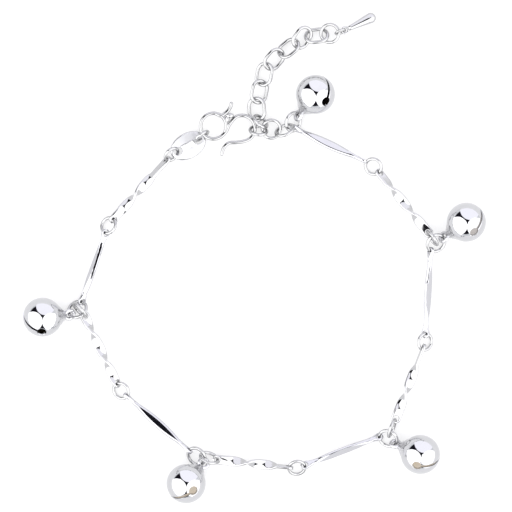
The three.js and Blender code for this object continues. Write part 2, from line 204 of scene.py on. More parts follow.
FINISHES = [  # haze is the roughness where the polish is dullest
    {"name": "polished_silver_wire", "colour": WIRE_COLOUR, "wave": 0.12, "hairline": 0.25},
    {"name": "pressed_silver_bar", "colour": BAR_COLOUR, "wave": 0.1, "hairline": 0.25},
    {"name": "pressed_silver_sheet", "colour": SHEET_COLOUR, "wave": 0.1, "hairline": 0.25},
    {"name": "polished_silver_ball", "colour": BALL_COLOUR, "wave": 0.05, "hairline": 0.15,
     "rough": 0.02, "haze": 0.05},
    {"name": "satin_silver_plate", "colour": PLATE_COLOUR, "wave": 0.3, "hairline": 0.5,
     "rough": 0.3, "haze": 0.4},
    {"name": "silver_solder", "colour": PLATE_COLOUR, "wave": 0.4, "hairline": 0.2,
     "rough": 0.22, "haze": 0.32},
]
(POLISHED_WIRE, PRESSED_BAR, PRESSED_SHEET, POLISHED_BALL, SATIN_PLATE,
 SOLDER) = [silver(**row) for row in FINISHES]
print("silver finishes:", len(FINISHES))

# %% [markdown]
# ## Inside of the bells
# The plating bath hardly reaches the inside of a closed bell, so the inner wall keeps the
# dull yellow of bare brass, and the loose pellet is plain grey steel. Both are seen only
# through the slot. A lamp inside could stand for the light that bounces about in there, but
# a rough metal that shines weakly by itself gives the same soft tone more evenly. That shine
# is painted light, and the wall comes in lit copies that shine and a dark copy with painted
# shade, one for each bell after how much light falls in through its slot.

# %% Dull metals


def dull_metal(name, light, dark, rough, painted_light_glow=0.0):
    material, tree, sockets = bare_metal(name)
    stain = noise(tree, scale=1200, detail=5)
    tint = mixed(tree, ranged(tree, stain, 0, 1), light, dark)
    tree.links.new(tint, sockets["Base Color"])
    tree.links.new(ranged(tree, stain, rough, rough + 0.2), sockets["Roughness"])
    tree.links.new(tint, sockets["Emission Color"])
    # The emission is painted light: the inner wall shines by itself in its own tint, standing
    # for light that falls in through the slot.
    sockets["Emission Strength"].default_value = painted_light_glow
    return material


# A dark copy of the inner wall: painted shade for bells whose inside gets little light through
# the slot.
SHADED_BRASS = dull_metal("brass_inside_painted_shade", (0.2, 0.16, 0.11), (0.1, 0.08, 0.06), 0.5)
# Two lit copies of the inner wall, lighter brass that shines by itself: painted light for bells
# whose slot lets light in.
LIT_TAN_BRASS = dull_metal("tan_brass_inside_painted_light", (0.57, 0.54, 0.49), (0.52, 0.46, 0.38), 0.5, 0.75)
LIT_GREY_BRASS = dull_metal("grey_brass_inside_painted_light", (0.53, 0.51, 0.5), (0.46, 0.44, 0.425), 0.5, 0.75)
GREY_STEEL = dull_metal("grey_steel_pellet", (0.4, 0.4, 0.42), (0.24, 0.23, 0.22), 0.35)
# The three brasses are one inner wall, in copies with painted shade or painted light.
print("dull metals: three kinds of brass, and steel")

# %% [markdown]
# ## From a bmesh to a piece
# The object itself stays at the origin, so patterns on Object coordinates fit every piece.

# %% Piece helpers
SHARP_ANGLE = math.radians(32)
SPIN_STEPS = 48
WELD = 0.002 * MM  # points closer than this become one


def apply_modifiers(piece):
    """Makes what the modifiers show the piece's own mesh."""
    if not piece.modifiers:
        return
    evaluated = piece.evaluated_get(bpy.context.evaluated_depsgraph_get())
    mesh = bpy.data.meshes.new_from_object(evaluated)
    piece.modifiers.clear()
    piece.data = mesh


def new_object(name, bm, place):
    bmesh.ops.transform(bm, matrix=place, verts=bm.verts)
    bmesh.ops.recalc_face_normals(bm, faces=bm.faces)
    mesh = bpy.data.meshes.new(name)
    bm.to_mesh(mesh)
    bm.free()
    item = bpy.data.objects.new(name, mesh)
    bpy.context.collection.objects.link(item)
    return item


def add_piece(name, bm, place, materials, node=None, modifiers=()):
    """Adds a piece that stands for the solid of its own name, or for the node given."""
    piece = new_object(name, bm, place)
    for material in materials:
        piece.data.materials.append(material)
    for kind, settings in modifiers:
        modifier = piece.modifiers.new(kind.title(), kind)
        for key, value in settings.items():
            setattr(modifier, key, value)
    apply_modifiers(piece)
    piece.data.shade_smooth()
    piece.data.set_sharp_from_angle(angle=SHARP_ANGLE)
    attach(piece, "root")
    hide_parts(node or name.removesuffix("_look"))
    return piece


def join(bm, other):
    """Adds another bmesh's shapes to this one."""
    mesh = bpy.data.meshes.new("joined")
    other.to_mesh(mesh)
    other.free()
    bm.from_mesh(mesh)
    bpy.data.meshes.remove(mesh)


def spun(points, axis, steps=SPIN_STEPS):
    """A closed shape from points on one side of an axis through the origin."""
    bm = bmesh.new()
    verts = [bm.verts.new(point) for point in points]
    edges = [bm.edges.new(pair) for pair in zip(verts, verts[1:])]
    bmesh.ops.spin(bm, geom=verts + edges, cent=(0, 0, 0), axis=axis,
                   angle=2 * math.pi, steps=steps, use_merge=True)
    bmesh.ops.remove_doubles(bm, verts=bm.verts, dist=WELD)
    return bm


print("pieces are named after their solids")

# %% [markdown]
# ## Jump rings and links
# A jump ring is one turn of wire, sawn off a coil and pressed shut, so a fine cut crosses it.
# A full torus would lose that cut. Here a wire's round section is spun nearly all the way
# round, both ends are filled, and their rims are bevelled as tumbling leaves them. The oval
# links of the extension are soldered, so their spin is a full turn, drawn out to an oval.

# %% Ring shape
WIRE_SIDES = 16
RING_STEPS = 60
CUT_WIDTH = 0.03 * MM
CUT_BEVEL = 0.035 * MM


def wire_circle(bm, radius, sides=WIRE_SIDES):
    circle = bmesh.ops.create_circle(bm, cap_ends=False, segments=sides, radius=radius)
    return circle["verts"]


def ring_bmesh(radius, wire, cut=False):
    """A ring in the level plane, with a sawn cut at X or none."""
    bm = bmesh.new()
    section = wire_circle(bm, wire / 2)
    gap = CUT_WIDTH / radius if cut else 0
    place = Matrix.Rotation(gap / 2, 4, "Z") @ Matrix.Translation((radius, 0, 0))
    upright = Matrix.Rotation(math.radians(90), 4, "X")
    bmesh.ops.transform(bm, matrix=place @ upright, verts=section)
    bmesh.ops.spin(bm, geom=bm.edges[:], cent=(0, 0, 0), axis=(0, 0, 1),
                   angle=2 * math.pi - gap, steps=RING_STEPS, use_merge=not cut)
    if cut:
        rims = [edge for edge in bm.edges if edge.is_boundary]
        bmesh.ops.holes_fill(bm, edges=rims, sides=0)
        bmesh.ops.bevel(bm, geom=rims, offset=CUT_BEVEL, offset_type="OFFSET", segments=2,
                        profile=0.5, affect="EDGES", material=-1)
    return bm


print("faces on a ring:", RING_STEPS * WIRE_SIDES)

# %% Rings


def add_ring(name, cut):
    """A ring as wide as its solid. A coarse solid's points all lie on the wire's outside."""
    points = node_points(name)
    axle = directions(points)[2]
    level = UP.cross(axle)
    place = placed(Vector(points.mean(0)), level, axle.cross(level))
    flat = local_points(points, place)
    reach = np.hypot(flat[:, 0], flat[:, 1])
    wire = 2 * (reach.max() - reach.mean())
    add_piece(name + "_look", ring_bmesh(reach.mean(), wire, cut), place, [POLISHED_WIRE])


JUMP_RINGS = ["tag_ring_clasp", "tag_ring_chain", "extension_ring", "drop_ring"]
JUMP_RINGS += [f"{kind}_ring_{i}" for kind in ("plain", "bell", "link") for i in range(1, 6)]
SOLDERED_RINGS = ["end_ring", "hook_ring", "extension_8"]
for name in JUMP_RINGS:
    add_ring(name, cut=True)
for name in SOLDERED_RINGS:
    add_ring(name, cut=False)
print("rings:", len(JUMP_RINGS), "sawn and", len(SOLDERED_RINGS), "soldered")

# %% Oval links
HEXAGON_HEIGHT = math.sin(math.radians(60))  # of a coarse wire's section, against its radius
LINKS = [f"extension_{i}" for i in range(1, 8)]


def add_link(name):
    """A round ring, pulled apart by the length of its solid's straight sides."""
    points = node_points(name)
    long_way, broad_way, _ = directions(points)
    place = placed(Vector(points.mean(0)), long_way, broad_way)
    flat = np.abs(local_points(points, place)).max(0)
    wire = 2 * flat[2] / HEXAGON_HEIGHT
    straight = flat[0] - flat[1]
    bm = ring_bmesh(flat[1] - wire / 2, wire)
    for side in (-1, 1):
        half = [vert for vert in bm.verts if vert.co.x * side > WELD]
        bmesh.ops.translate(bm, vec=(side * straight, 0, 0), verts=half)
    add_piece(name + "_look", bm, place, [POLISHED_WIRE])


for name in LINKS:
    add_link(name)
print("oval links:", len(LINKS))

# %% [markdown]
# ## Strips and bars
# Both start as straight stock that is pressed and twisted, so both are made as a row of
# sections: a first loop of points, extruded step by step, each step set to its own width,
# thickness and roll. Extruding keeps one clean grid of faces, which a polished surface needs.
# The holes are drilled afterwards with a countersunk cutter, which leaves a worn bright rim.

# %% Sweeping a row of sections


def swept(rows):
    """A loop of points, extruded to one row after another."""
    bm = bmesh.new()
    ring = wire_circle(bm, MM, sides=len(rows[0][2]))
    edges = bm.edges[:]
    loops = [ring]
    for _ in rows[1:]:
        grown = bmesh.ops.extrude_edge_only(bm, edges=edges)["geom"]
        new = {item for item in grown if isinstance(item, bmesh.types.BMVert)}
        edges = [item for item in grown if isinstance(item, bmesh.types.BMEdge)
                 and set(item.verts) <= new]
        ring = [next(edge.other_vert(vert) for edge in vert.link_edges
                     if edge.other_vert(vert) in new) for vert in ring]
        loops.append(ring)
    for ring, (along, roll, points) in zip(loops, rows):
        for vert, (across, deep) in zip(ring, points):
            vert.co = (along, across * math.cos(roll) - deep * math.sin(roll),
                       across * math.sin(roll) + deep * math.cos(roll))
    ends = [edge for edge in bm.edges if edge.is_boundary]
    caps = bmesh.ops.holes_fill(bm, edges=ends, sides=0)["faces"]
    bmesh.ops.poke(bm, faces=caps)
    return bm


print("a row holds a distance, a roll, and the points round a section")

# %% Drill
DRILL_SIDES = 40
DRILL_REACH = 1.5 * MM
DRILL_SINK = 0.05 * MM  # depth of the countersink
DRILL_TURN = math.radians(3.1)  # keeps the drill's corners off the blank's middle edges


def drill(radius, thick, place):
    """A cutter with a small countersink at both faces of a plate of that thickness."""
    wide = radius + 2 * DRILL_SINK
    upper = [(radius, 0, 0), (radius, 0, thick / 2 - DRILL_SINK),
             (wide, 0, thick / 2 + DRILL_SINK), (wide, 0, DRILL_REACH)]
    lower = [(r, 0, -height) for r, _, height in reversed(upper[1:])]
    bm = spun(lower + upper, axis=(0, 0, 1), steps=DRILL_SIDES)
    bmesh.ops.holes_fill(bm, edges=[edge for edge in bm.edges if edge.is_boundary], sides=0)
    return new_object("drill", bm, place @ Matrix.Rotation(DRILL_TURN, 4, "Z"))


def end_drills(radius, thick, place, reach, rolls):
    """Cutters for the holes near both ends, each turned with its flat end."""
    return [drill(radius, thick, place @ Matrix.Translation((side * reach, 0, 0))
                  @ Matrix.Rotation(roll, 4, "X")) for side, roll in zip((-1, 1), rolls)]


def drilled(name, bm, place, materials, drills):
    """Adds a piece with its holes cut, and takes the cutters away again."""
    cuts = [("BOOLEAN", {"operation": "DIFFERENCE", "solver": "EXACT", "object": cutter})
            for cutter in drills]
    piece = add_piece(name, bm, place, materials, modifiers=cuts)
    for cutter in drills:
        bpy.data.objects.remove(cutter)
    return piece


print("drill sides:", DRILL_SIDES)

# %% Measuring a span
SPAN_END = 1.3 * MM  # the length at each tip whose roll is measured


def span_place(name, start_ring):
    """A straight piece's place, with X along it and Y level, its points and its length."""
    points = node_points(name)
    along = directions(points)[0]
    middle = Vector(points.mean(0))
    ring = Vector(node_points(start_ring).mean(0))
    if (ring - middle).dot(along) > 0:
        along = -along
    place = placed(middle, along, UP.cross(along))
    flat = local_points(points, place)
    return place, flat, flat[:, 0].max() - flat[:, 0].min()


def tip_roll(flat, side):
    """The roll of a span's flat end, between -90 and 90 degrees from level."""
    reach = (flat[:, 0] * side).max()
    tip = flat[flat[:, 0] * side > reach - SPAN_END][:, 1:]
    spread = tip.T @ tip
    return 0.5 * math.atan2(2 * spread[0, 1], spread[0, 0] - spread[1, 1])


print("span ends in mm:", SPAN_END / MM)

# %% [markdown]
# ## Twisted strips
# A short flat strip is held at both ends and turned, so its two flat ends stay straight and
# the middle becomes a screw. The twist is read from the roll of both ends and the number of
# half turns. Each place where the strip faces up catches a small dark bow in its shine.

# %% Strip section
FACE_POINTS = 6
CORNER_POINTS = 5


def strip_section(width, thick, corner):
    """A flat bar with rounded edges, as points in order round it."""
    points = []
    centres = [(1, 1), (-1, 1), (-1, -1), (1, -1)]
    for quarter, (sx, sy) in enumerate(centres):
        for k in range(CORNER_POINTS):
            angle = math.radians(90) * (quarter + k / (CORNER_POINTS - 1))
            points.append((sx * (width / 2 - corner) + corner * math.cos(angle),
                           sy * (thick / 2 - corner) + corner * math.sin(angle)))
        if quarter % 2 == 0:
            for k in range(1, FACE_POINTS + 1):
                across = (width / 2 - corner) * (1 - 2 * k / (FACE_POINTS + 1))
                points.append((sx * across, sy * thick / 2))
    return points


print("points round a strip:", len(strip_section(1, 0.5, 0.1)))

# %% Strip table
STRIP_WIDTH = 1.6 * MM
STRIP_THICK = 0.5 * MM
STRIP_CORNER = 0.22 * MM
STRIP_ROUND = STRIP_WIDTH * 0.42  # length of a rounded tip
STRIP_HOLE = 0.5 * MM  # radius
STRIP_TIP = 0.75 * MM  # from a tip to the hole's middle
TWIST_PITCH = 10.2 * MM  # for one full turn
TWIST_PRESS = 0.16  # radians of roll that the press takes out beside each face-up place
TWIST_STEPS = 56
STRIPS = [  # twist and the lean of the first end in degrees, shift of the twist in millimetres
    {"name": "strip_1", "start": "tag_ring_chain", "twist": 274, "shift": 0.85, "lean": 0},
    {"name": "strip_2", "start": "link_ring_1", "twist": 392, "shift": 0.3, "lean": 0},
    {"name": "strip_3", "start": "link_ring_2", "twist": 280, "shift": -0.15, "lean": 0},
    {"name": "strip_4", "start": "link_ring_3", "twist": 260, "shift": -0.75, "lean": 7},
    {"name": "strip_5", "start": "link_ring_4", "twist": 321, "shift": -0.25, "lean": -8},
]
print("strips:", len(STRIPS))

# %% Strips


def tip_widths(width, length, steps=9):
    """Distances from a rounded tip, with the width that the round leaves at each."""
    rows = []
    for k in range(1, steps + 1):
        angle = math.radians(90) * k / steps
        rows.append((length * (1 - math.cos(angle)), width * math.sin(angle)))
    return rows


def add_strip(row):
    place, flat, length = span_place(row["name"], row["start"])
    first, last = tip_roll(flat, -1) + math.radians(row["lean"]), tip_roll(flat, 1)
    half_turns = round((math.radians(row["twist"]) - (first - last)) / math.pi)
    twist = first - last + half_turns * math.pi
    zone = twist / (2 * math.pi) * TWIST_PITCH
    tips = tip_widths(STRIP_WIDTH, STRIP_ROUND)
    stations = [(-length / 2 + x, w) for x, w in tips]
    shift = row["shift"] * MM
    stations += [(shift + zone * (k / TWIST_STEPS - 0.5), STRIP_WIDTH)
                 for k in range(TWIST_STEPS + 1)]
    stations += [(length / 2 - x, w) for x, w in reversed(tips)]
    rows = []
    for x, width in stations:
        part = min(max((x - shift) / zone + 0.5, 0), 1)
        corner = min(STRIP_CORNER, width * 0.3)
        roll = first - twist * part
        pressing = TWIST_PRESS * min(1, 8 * part * (1 - part))
        roll -= pressing * math.sin(2 * roll)
        rows.append((x, roll, strip_section(width, STRIP_THICK, corner)))
    drills = end_drills(STRIP_HOLE, STRIP_THICK, place, length / 2 - STRIP_TIP, (first, last))
    drilled(row["name"] + "_look", swept(rows), place, [PRESSED_SHEET], drills)
    return [round(math.degrees(angle)) for angle in (first, last, twist)]


print("strip rolls and twists in degrees:", [add_strip(row) for row in STRIPS])

# %% [markdown]
# ## Long bars
# A long bar is a round wire, pressed between two flat dies. Its middle spreads to an oval
# with a flat on each face, and each flat has the outline of a narrow lens, because the wire
# tapers. The eyes at its tips are pressed the other way, a quarter turn from the flats, so
# the necks between the two are boxier. A bevelled box would have flats of one width, while
# a row of sections gives each its own, so the lens comes out exactly. Burnishing by hand
# leaves a narrow facet along the top of some bars. It follows the drilling, because holes
# are cut most cleanly in a plain blank.

# %% Bar sections
FLAT_MARKS = (1, 0.91, 0.8, 0, -0.8, -0.91, -1)
SIDE_MARKS = (0.8, 0.6, 0.42, 0.28, 0.18, 0.11, 0.06, 0.025)  # closer together near the top
TOP_LIMIT = 0.8  # 1 is at a flat's edge


def side_angles(start, top):
    """Which way a side faces, from one flat's edge to the other, with one place at `top`."""
    top = max(min(top, TOP_LIMIT * start), -TOP_LIMIT * start)
    upper = [top + (start - top) * mark for mark in SIDE_MARKS]
    lower = [top - (start + top) * mark for mark in reversed(SIDE_MARKS)]
    return upper + [top] + lower


def bar_section(width, height, flat, top):
    """An oval blank with both faces pressed to flats of the given width."""
    a, b = width / 2, height / 2
    edge = a * min(flat / width, 1)
    h = b * math.sqrt(1 - (edge / a) ** 2)
    start = math.atan2(a * h, b * math.sqrt(b * b - h * h))
    points = []
    for sign in (1, -1):
        points += [(sign * edge * mark, sign * h) for mark in FLAT_MARKS]
        for angle in side_angles(start, top):
            far = math.hypot(a * math.cos(angle), b * math.sin(angle))
            points.append((-sign * a * a * math.cos(angle) / far,
                           sign * b * b * math.sin(angle) / far))
    return points


def boxy_section(width, height, power):
    """A blank between an oval, at a power of 2, and a box, with a bar's number of points."""
    points = []
    count = 2 * (len(FLAT_MARKS) + 2 * len(SIDE_MARKS) + 1)
    for k in range(count):
        angle = math.radians(90) - 2 * math.pi * (k - (len(FLAT_MARKS) - 1) / 2) / count
        x, y = -math.cos(angle), math.sin(angle)
        points.append((math.copysign(abs(x) ** (2 / power), x) * width / 2,
                       math.copysign(abs(y) ** (2 / power), y) * height / 2))
    return points


print("points round a bar:", len(bar_section(1, 1, 0.4, 0)), len(boxy_section(1, 1, 3)))

# %% Bar table
BAR_HOLE = 0.5 * MM  # radius
BAR_TIP = 0.66 * MM  # from a tip to the hole's middle
BAR_EYE_THICK = 0.5 * MM
BAR_EYE_WIDTH = 1.35 * MM
BAR_LENS = 4.2 * MM  # half of a flat's length
LENS_END = 0.06  # a flat's least width, against its greatest
# Rolls and leans are in degrees and the rest in millimetres, with places measured from the
# bar's middle. The lens is a flat's greatest width, and a bar is widest at its peak.
BARS = [
    {"name": "bar_1", "start": "plain_ring_1", "roll": 58, "lens": 1, "peak": 1.8, "lean": -2.5},
    {"name": "bar_2", "start": "plain_ring_2", "roll": -3, "lens": 0.75, "peak": 0, "lean": 0},
    {"name": "bar_3", "start": "plain_ring_3", "roll": 50, "lens": 1.3, "peak": 0, "lean": 0},
    {"name": "bar_4", "start": "plain_ring_4", "roll": 46, "lens": 1.3, "peak": 0, "lean": 1.7},
    {"name": "bar_5", "start": "plain_ring_5", "roll": 14, "lens": 0.9, "peak": 0, "lean": 4},
]
FACETS = [  # how much burnishing takes off the top, between two places
    {"bar": "bar_1", "depth": 0.05, "from": -4.3, "to": 4.3},
    {"bar": "bar_4", "depth": 0.045, "from": 1.3, "to": 1.9},
    {"bar": "bar_5", "depth": 0.02, "from": -4.3, "to": 4.3},
]
NECKS = [  # millimetres from a tip; an outline's power is 2 for an oval, more for a boxier one
    {"from_tip": 0.9, "width": 0.5, "height": 1.33, "power": 5},
    {"from_tip": 1.15, "width": 0.54, "height": 1.2, "power": 4},
    {"from_tip": 1.45, "width": 0.62, "height": 1.04, "power": 3},
    {"from_tip": 1.8, "width": 0.66, "height": 0.92, "power": 2.3},
    {"from_tip": 2.3, "width": 0.68, "height": 0.86, "power": 2},
    {"from_tip": 2.9, "width": 0.72, "height": 0.84, "power": 2},
]
NECK_CLEAR = 0.15 * MM  # a neck's last section stays this far off the lens
EYE_LENGTH = 1.2 * MM  # from a tip to where the roll starts to change
LENS_STEPS = 14
SHANK_WIDTH = 0.72 * MM  # at both ends of the lens
SHANK_HEIGHT = 0.84 * MM
PEAK_WIDTH = 1.42 * MM
PEAK_HEIGHT = 0.93 * MM
FACET_ANGLE = math.radians(12)  # a flat's or facet's edges stay sharp above this
print("bars:", len(BARS))

# %% Sections along a bar


def bar_stations(length, peak):
    """Distance from the bar's middle, width, height and power of every section."""
    rows = []
    for x, width in tip_widths(BAR_EYE_WIDTH, BAR_TIP):
        rows.append((x - length / 2, BAR_EYE_THICK, width, 5))
    for neck in NECKS:
        if neck["from_tip"] * MM < length / 2 - BAR_LENS - NECK_CLEAR:
            rows.append((neck["from_tip"] * MM - length / 2, neck["width"] * MM,
                         neck["height"] * MM, neck["power"]))
    other_end = [(-x, w, h, p) for x, w, h, p in reversed(rows)]
    for k in range(-LENS_STEPS, LENS_STEPS + 1):
        x = BAR_LENS * k / LENS_STEPS
        reach = BAR_LENS + (peak if x < peak else -peak)
        swell = 1 - ((x - peak) / reach) ** 2
        rows.append((x, SHANK_WIDTH + (PEAK_WIDTH - SHANK_WIDTH) * swell,
                     SHANK_HEIGHT + (PEAK_HEIGHT - SHANK_HEIGHT) * swell, 2))
    return rows + other_end


def bar_roll(x, length, first, middle, last):
    """The eyes' rolls at both tips, and the flats' roll all along the lens."""
    tip = first if x < 0 else last
    start, end = length / 2 - EYE_LENGTH, BAR_LENS
    part = min(max((start - abs(x)) / (start - end), 0), 1)
    ease = part * part * (3 - 2 * part)
    return tip + (middle - tip) * ease


print("sections of a bar:", len(bar_stations(13 * MM, 0)))

# %% Burnishing


def burnish(bar, place, lean, facet):
    """Takes a set depth off the ridge along a bar's top, and leaves a narrow leaning facet."""
    facing = Vector((0, -math.sin(lean), math.cos(lean)))
    back = place.inverted()
    sections = {}
    for vert in bar.data.vertices:
        spot = back @ vert.co
        if facet["from"] < spot.x / MM < facet["to"]:
            sections.setdefault(round(spot.x / MM, 2), []).append((vert, spot))
    for section in sections.values():
        cut = max(spot.dot(facing) for _, spot in section) - facet["depth"] * MM
        for vert, spot in section:
            over = max(spot.dot(facing) - cut, 0)
            vert.co = place @ (spot - facing * over)


print("burnished:", [facet["bar"] for facet in FACETS])

# %% Bars


def add_bar(row):
    place, flat, length = span_place(row["name"], row["start"])
    quarter = math.pi / 2
    middle, lean = math.radians(row["roll"]), math.radians(row["lean"])
    rolls = []
    for side in (-1, 1):
        roll = tip_roll(flat, side) - quarter
        rolls.append(roll - math.pi * round((roll - middle) / math.pi))
    rows = []
    for x, width, height, power in bar_stations(length, row["peak"] * MM):
        roll = bar_roll(x, length, rolls[0], middle, rolls[1])
        lens = row["lens"] * MM * max(1 - (x / BAR_LENS) ** 2, LENS_END)
        if power == 2:
            section = bar_section(width, height, lens, roll - lean - quarter)
        else:
            section = boxy_section(width, height, power)
        rows.append((x, roll, section))
    drills = end_drills(BAR_HOLE, BAR_EYE_THICK, place, length / 2 - BAR_TIP,
                        [roll + quarter for roll in rolls])
    bar = drilled(row["name"] + "_look", swept(rows), place, [PRESSED_BAR], drills)
    for facet in FACETS:
        if facet["bar"] == row["name"]:
            burnish(bar, place, lean, facet)
    bar.data.set_sharp_from_angle(angle=FACET_ANGLE)
    return [round(math.degrees(roll)) for roll in (*rolls, middle)]


for row in BARS:
    print(row["name"], "rolls in degrees:", add_bar(row))

# %% [markdown]
# ## Jingle bells
# A jingle bell is a hollow ball of thin sheet with one slot, whose ends open into two round
# holes. The slot could be cut with a boolean, but that leaves long thin faces which spoil
# the mirror finish. A grid wrapped round the ball is better: its middle rows run along the
# slot's two edges, so every point stays on the ball and the slot's outline is exact.

# %% Ball with a slot
BELL_RADIUS = 3.13 * MM
BELL_WALL = 0.38 * MM
SLOT_HALF = math.asin(0.225 * MM / BELL_RADIUS)  # half the slot's width, as an angle
HOLE_HALF = math.asin(0.75 * MM / BELL_RADIUS)
SLOT_REACH = math.radians(70)  # from the slot's middle to each hole's
BALL_ROWS = 18  # on each side of the slot
SLOT_COLUMNS, HOLE_COLUMNS, BACK_COLUMNS = 10, 20, 18  # from the slot's middle to the back


def hole_half_height(turn):
    """Half the opening's height at a place along the slot, as an angle at the ball."""
    off = abs(abs(turn) - SLOT_REACH)
    round_end = math.sqrt(max(HOLE_HALF ** 2 - off ** 2, 0))
    in_slot = SLOT_HALF if abs(turn) < SLOT_REACH else 0
    return max(round_end, in_slot)


def slot_columns():
    """Turns round the ball, close together where the round holes bend."""
    half = [math.radians(5) * k for k in range(SLOT_COLUMNS + 1)]
    first = math.pi - math.asin(SLOT_HALF / HOLE_HALF)
    half += [SLOT_REACH + HOLE_HALF * math.cos(first * (1 - k / HOLE_COLUMNS))
             for k in range(HOLE_COLUMNS + 1)]
    far = half[-1]
    half += [far + (math.pi - far) * (k / BACK_COLUMNS) ** 1.15
             for k in range(1, BACK_COLUMNS + 1)]
    half = sorted(set(half))
    return [-turn for turn in reversed(half[1:])] + half


def ball_bmesh():
    """A grid that lacks its middle row, the slot, wrapped round the ball."""
    turns = slot_columns()
    rows = 2 * BALL_ROWS + 1
    bm = bmesh.new()
    bmesh.ops.create_grid(bm, x_segments=len(turns) - 1, y_segments=rows, size=1)
    slot = [face for face in bm.faces if abs(face.calc_center_median().y) < 0.5 / rows]
    bmesh.ops.delete(bm, geom=slot, context="FACES")
    for vert in bm.verts:
        turn = turns[round((vert.co.x + 1) / 2 * (len(turns) - 1))]
        row = round((vert.co.y + 1) / 2 * rows)
        side, step = (1, row - BALL_ROWS - 1) if row > BALL_ROWS else (-1, BALL_ROWS - row)
        part = step / BALL_ROWS
        edge = hole_half_height(turn)
        rise = side * (edge * (1 - part) ** 2 + math.pi / 2 * part ** 1.1)
        rise = max(min(rise, math.pi / 2), -math.pi / 2)
        vert.co = BELL_RADIUS * Vector((math.cos(rise) * math.sin(turn),
                                        -math.cos(rise) * math.cos(turn), math.sin(rise)))
    bmesh.ops.remove_doubles(bm, verts=bm.verts, dist=WELD)
    return bm


print("ball columns:", len(slot_columns()))

# %% Neck and eye
NECK_ANGLE = math.radians(52)  # where the solder leaves the ball, from its equator
NECK_LIFT = math.radians(8)  # how steeply it leaves the ball's surface
NECK_BEND = 0.75 * MM  # radius at which the solder turns to run along the eye
NECK_RADIUS = 0.5 * MM
NECK_TOP = BELL_RADIUS + 0.82 * MM
NECK_CAP = 0.1 * MM  # height of the cones that close its ends
EYE_RADIUS = 0.75 * MM
EYE_WIRE = 0.6 * MM
EYE_REACH = 4.65 * MM
NECK_STEPS = 10


def neck_bmesh():
    """The solder that leaves the ball along its slope and narrows to the eye, spun."""
    start = Vector((math.cos(NECK_ANGLE), math.sin(NECK_ANGLE), 0)) * BELL_RADIUS
    lift = NECK_ANGLE - NECK_LIFT
    slope = Vector((-math.sin(lift), math.cos(lift), 0))
    bend = start + slope * ((start.x - NECK_BEND) / -slope.x)
    end = Vector((NECK_RADIUS, NECK_TOP, 0))
    profile = [(0, start.y - NECK_CAP, 0), start * 0.995]  # starts just inside the ball
    for k in range(1, NECK_STEPS + 1):
        part = k / NECK_STEPS
        profile.append(start.lerp(bend, part).lerp(bend.lerp(end, part), part))
    return spun([*profile, (0, NECK_TOP + NECK_CAP, 0)], axis=(0, 1, 0))


print("neck from", round(BELL_RADIUS * math.sin(NECK_ANGLE) / MM, 2), "mm above the middle")

# %% [markdown]
# ## Hanging the bells
# A bell's middle is above its pellet, its eye points to the solid's farthest points, and
# those points also show how the eye is rolled. Only the slot's turn against the eye is a
# number of its own. The wall gets its thickness inwards, and the slot's rim a small bevel.

# %% Bells
# Each bell's inside is one brass, as a dark copy with painted shade or a lit copy with painted
# light.
BELLS = [
    {"name": "bell_1", "slot_turn": -67, "inside": SHADED_BRASS},
    {"name": "bell_2", "slot_turn": -66, "inside": LIT_TAN_BRASS},
    {"name": "bell_3", "slot_turn": 4, "inside": LIT_TAN_BRASS},
    {"name": "bell_4", "slot_turn": 5, "inside": LIT_GREY_BRASS},
    {"name": "bell_5", "slot_turn": -3, "inside": SHADED_BRASS},
]
EYE_ZONE = 4.1 * MM  # points farther than this from a ball's middle belong to its eye
RIM_BEVEL = 0.05 * MM


def bell_place(name, pellet):
    """A bell's middle, with Y towards its eye and Z across the eye."""
    points = node_points(name)
    middle = node_points(pellet).mean(0)
    middle[2] = (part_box(name)[0].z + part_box(name)[1].z) / 2
    far = points[np.linalg.norm(points - middle, axis=1) > EYE_ZONE]
    neck = Vector(far.mean(0) - middle)
    across = directions(far)[2]
    return placed(Vector(middle), neck.cross(across), neck)


def add_bell(row, pellet):
    name = row["name"]
    place = bell_place(name, pellet)
    turn = place @ Matrix.Rotation(math.radians(row["slot_turn"]), 4, "Y")
    wall = [("SOLIDIFY", {"thickness": BELL_WALL, "offset": -1, "use_even_offset": False,
                          "material_offset": 1, "material_offset_rim": 0}),
            ("BEVEL", {"width": RIM_BEVEL, "segments": 2, "limit_method": "ANGLE",
                       "angle_limit": math.radians(60)})]
    add_piece(name + "_ball", ball_bmesh(), turn, [POLISHED_BALL, row["inside"]],
              node=name, modifiers=wall)
    eye, ring = neck_bmesh(), ring_bmesh(EYE_RADIUS, EYE_WIRE)
    bmesh.ops.translate(ring, vec=(0, EYE_REACH, 0), verts=ring.verts)
    join(eye, ring)
    add_piece(name + "_eye", eye, place, [SOLDER], node=name)
    return place


def add_pellet(name):
    low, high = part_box(name)
    ball = bmesh.new()
    bmesh.ops.create_uvsphere(ball, u_segments=32, v_segments=20, radius=(high.z - low.z) / 2)
    place = Matrix.Translation((low + high) / 2)
    add_piece(name + "_look", ball, place, [GREY_STEEL])


for row in BELLS:
    pellet = row["name"].replace("bell", "pellet")
    spot = add_bell(row, pellet)
    add_pellet(pellet)
    print(row["name"], "middle in mm:", [round(v / MM, 2) for v in spot.translation])

# %% [markdown]
# ## The M-shaped clasp
# One piece of wire makes the whole clasp: a prong, a closed loop, a second loop that hooks
# over the end ring, and a tail that guides the ring in. A round section could be swept by a
# curve object. Here a loop is extruded along the bend, which gives the tips a real round end
# and the left loop's closing solder in the same mesh.

# %% Marks of the bend
CLASP_WIRE = 0.6 * MM
CLASP_SLOPE = math.radians(2.2)
CLASP_STEPS = 9  # between two marks of the bend
